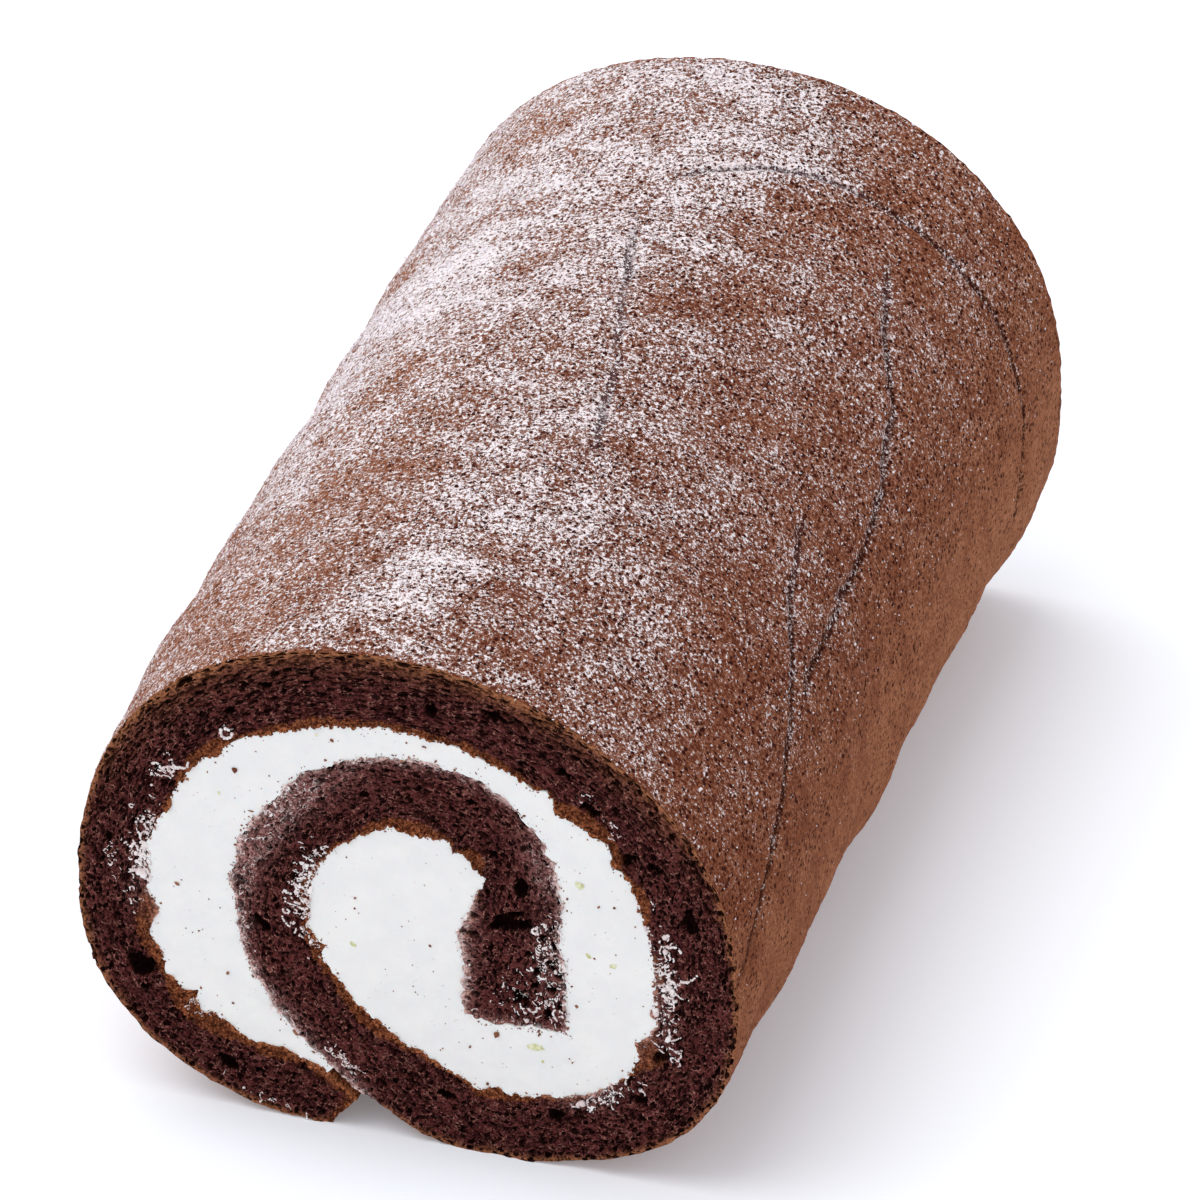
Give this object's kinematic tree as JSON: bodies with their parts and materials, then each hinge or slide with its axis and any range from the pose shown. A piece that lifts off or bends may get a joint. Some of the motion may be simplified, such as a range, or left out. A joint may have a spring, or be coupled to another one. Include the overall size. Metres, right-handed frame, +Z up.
{
  "type": "roll cake",
  "caption": "Whole rolled sponge cake: a chocolate sponge sheet wound in a spiral round white cream, with plain cut ends and a flat base to stand on.",
  "frame": {"origin": "middle of the base, on the surface that the cake stands on", "axes": "+Y along the roll, away from the end that the picture shows; +Z up; +X to the right as that end is seen"},
  "size_m": [0.1011, 0.157, 0.0866],
  "materials": {
    "sponge": "matte, open crumb",
    "cream": "smooth, soft sheen"
  },
  "bodies": {
    "root": {"sponge": "sponge", "cream": "cream"}
  },
  "joints": []
}
